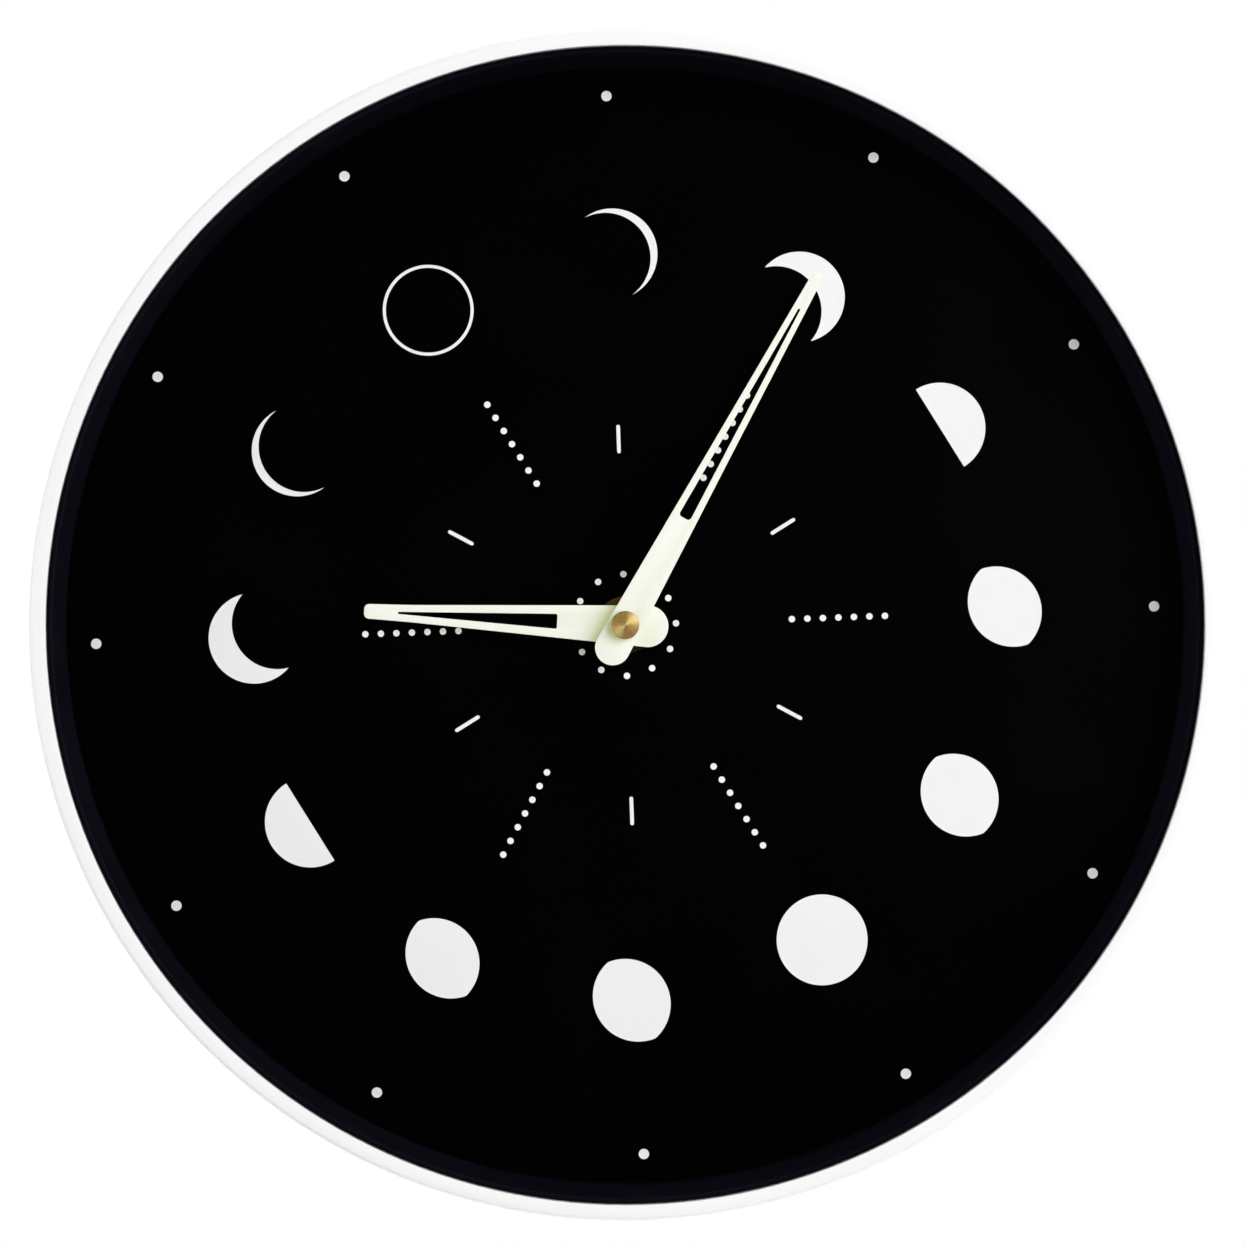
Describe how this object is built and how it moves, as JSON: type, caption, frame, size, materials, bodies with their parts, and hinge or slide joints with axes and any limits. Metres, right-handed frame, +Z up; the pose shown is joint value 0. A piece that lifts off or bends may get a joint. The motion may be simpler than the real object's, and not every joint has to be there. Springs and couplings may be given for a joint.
{
  "type": "wall clock",
  "caption": "Round wall clock with a white case, a clear lens, a black dial that shows moon phases for the hours, pale slotted hands and a battery movement behind the dial.",
  "frame": {"origin": "the nail's place at the top of the keyhole slot, on the plane of the wall", "axes": "+Z up, +Y into the wall, +X to the right as the dial is read, so the dial faces -Y"},
  "size_m": [0.305, 0.0418, 0.305],
  "materials": {
    "white_plastic": "moulded white plastic with a soft gloss",
    "clear_lens": "clear flat lens",
    "black_plastic": "matt blue-black moulded plastic",
    "dial_black": "matt black sheet with white print",
    "luminous_paint": "sheet painted with pale luminous paint",
    "brass": "turned brass",
    "steel": "zinc plated steel",
    "dark_plastic": "matt black moulded plastic",
    "gear_plastic": "natural moulded plastic",
    "magnet": "sintered magnet on a plastic arbor",
    "soft_rubber": "soft black rubber",
    "board_green": "green circuit board",
    "copper": "enamelled copper wire",
    "cell_sleeve": "plain cell sleeve with bare steel ends"
  },
  "bodies": {
    "case": {"bezel_ring": "white_plastic", "lens": "clear_lens", "case_body": "white_plastic", "dial_pan": "black_plastic", "dial": "dial_black", "pan_screw_1": "steel", "pan_screw_2": "steel", "pan_screw_3": "steel", "pan_screw_4": "steel", "wall_hanger": "steel", "hanger_screw_1": "steel", "hanger_screw_2": "steel", "cushion_washer": "soft_rubber", "threaded_bush": "brass", "dial_washer": "brass", "dial_nut": "brass", "movement_housing": "dark_plastic", "movement_cover": "dark_plastic", "train_bridge": "gear_plastic", "positive_contact": "steel", "negative_contact": "steel", "circuit_board": "board_green", "quartz_crystal": "steel", "timer_chip": "dark_plastic", "stator": "steel", "coil_core": "steel", "drive_coil": "copper"},
    "minute_hand_set": {"minute_shaft": "brass", "minute_hand": "luminous_paint", "hand_nut": "brass", "clutch_spring": "steel"},
    "hour_hand_set": {"hour_wheel": "gear_plastic", "hour_hand": "luminous_paint"},
    "minute_wheel_set": {"minute_wheel": "gear_plastic"},
    "setting_set": {"setting_knob": "dark_plastic", "setting_pinion": "gear_plastic"},
    "rotor_set": {"rotor": "magnet"},
    "intermediate_set": {"intermediate_wheel": "gear_plastic"},
    "seconds_set": {"seconds_wheel": "gear_plastic"},
    "third_set": {"third_wheel": "gear_plastic"},
    "centre_set": {"centre_wheel": "gear_plastic"},
    "cell": {"battery": "cell_sleeve"}
  },
  "joints": [
    {"name": "minute_hand_turn", "type": "hinge", "parent": "case", "child": "minute_hand_set", "pos_m": [0, -0.03, -0.122], "axis": [0, 1, 0], "continuous": true},
    {"name": "hour_hand_turn", "type": "hinge", "parent": "case", "child": "hour_hand_set", "pos_m": [0, -0.0275, -0.122], "axis": [0, 1, 0], "continuous": true},
    {"name": "minute_wheel_turn", "type": "hinge", "parent": "case", "child": "minute_wheel_set", "pos_m": [0.00983, -0.0139, -0.11512], "axis": [0, 1, 0], "continuous": true},
    {"name": "setting_knob_turn", "type": "hinge", "parent": "case", "child": "setting_set", "pos_m": [0.01583, -0.0015, -0.10472], "axis": [0, 1, 0], "continuous": true},
    {"name": "rotor_spin", "type": "hinge", "parent": "case", "child": "rotor_set", "pos_m": [-0.0202, -0.0069, -0.11184], "axis": [0, 1, 0], "continuous": true},
    {"name": "intermediate_turn", "type": "hinge", "parent": "case", "child": "intermediate_set", "pos_m": [-0.01511, -0.0051, -0.10675], "axis": [0, 1, 0], "continuous": true},
    {"name": "seconds_turn", "type": "hinge", "parent": "case", "child": "seconds_set", "pos_m": [-0.00671, -0.0068, -0.10675], "axis": [0, 1, 0], "continuous": true},
    {"name": "third_turn", "type": "hinge", "parent": "case", "child": "third_set", "pos_m": [-0.00935, -0.0085, -0.1166], "axis": [0, 1, 0], "continuous": true},
    {"name": "centre_turn", "type": "hinge", "parent": "case", "child": "centre_set", "pos_m": [0, -0.0102, -0.122], "axis": [0, 1, 0], "continuous": true},
    {"name": "battery_slide", "type": "slide", "parent": "case", "child": "cell", "axis": [0, 1, 0], "range_m": [0, 0.03]}
  ],
  "couplings": [
    {"joint": "hour_hand_turn", "follows": "minute_hand_turn", "ratio": 0.083333},
    {"joint": "minute_wheel_turn", "follows": "minute_hand_turn", "ratio": -0.33333},
    {"joint": "setting_knob_turn", "follows": "minute_hand_turn", "ratio": 1},
    {"joint": "intermediate_turn", "follows": "rotor_spin", "ratio": -0.2},
    {"joint": "seconds_turn", "follows": "rotor_spin", "ratio": 0.033333},
    {"joint": "third_turn", "follows": "rotor_spin", "ratio": -0.0044444},
    {"joint": "centre_turn", "follows": "rotor_spin", "ratio": 0.00055556}
  ]
}
